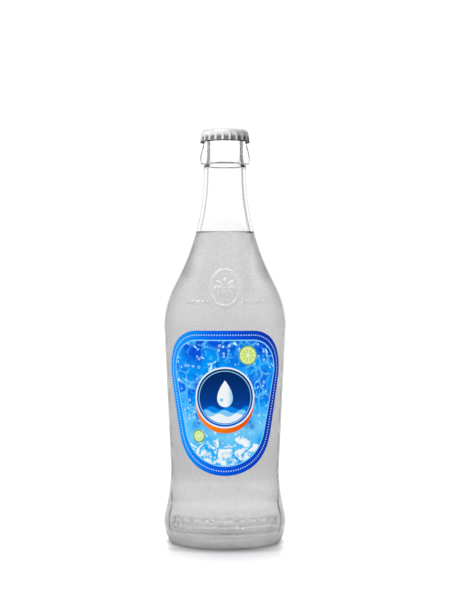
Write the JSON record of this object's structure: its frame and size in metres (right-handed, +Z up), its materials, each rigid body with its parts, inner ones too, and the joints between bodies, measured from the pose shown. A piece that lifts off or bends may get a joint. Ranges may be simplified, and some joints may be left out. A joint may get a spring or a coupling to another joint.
{
  "type": "glass soda bottle",
  "caption": "Clear glass soda bottle with flared heel, tapered label panel and long neck, full of clear drink, closed by a pry-off fluted crown cap, with a shaped paper front label.",
  "frame": {"origin": "on the bottle's axis, on the surface that it stands on", "axes": "+Z up along the bottle's axis, -Y towards the front label"},
  "size_m": [0.0702, 0.0704, 0.2361],
  "materials": {
    "clear_glass": "clear flint glass, fire polished",
    "clear_drink": null,
    "silver_tinplate": "pressed tinplate with a clear silver lacquer",
    "liner_plastic": "soft moulded off-white liner",
    "dried_glue": "dried label glue, faintly cloudy",
    "label_paper": "coated paper printed in blues and white, low sheen"
  },
  "bodies": {
    "bottle": {"glass_bottle": "clear_glass", "soda_fill": "clear_drink", "label_adhesive": "dried_glue", "front_label": "label_paper"},
    "crown_cap": {"crown_shell": "silver_tinplate", "crown_liner": "liner_plastic"}
  },
  "joints": [
    {"name": "cap_lift", "type": "slide", "parent": "bottle", "child": "crown_cap", "axis": [0, 0, 1], "range_m": [0, 0.06]}
  ]
}
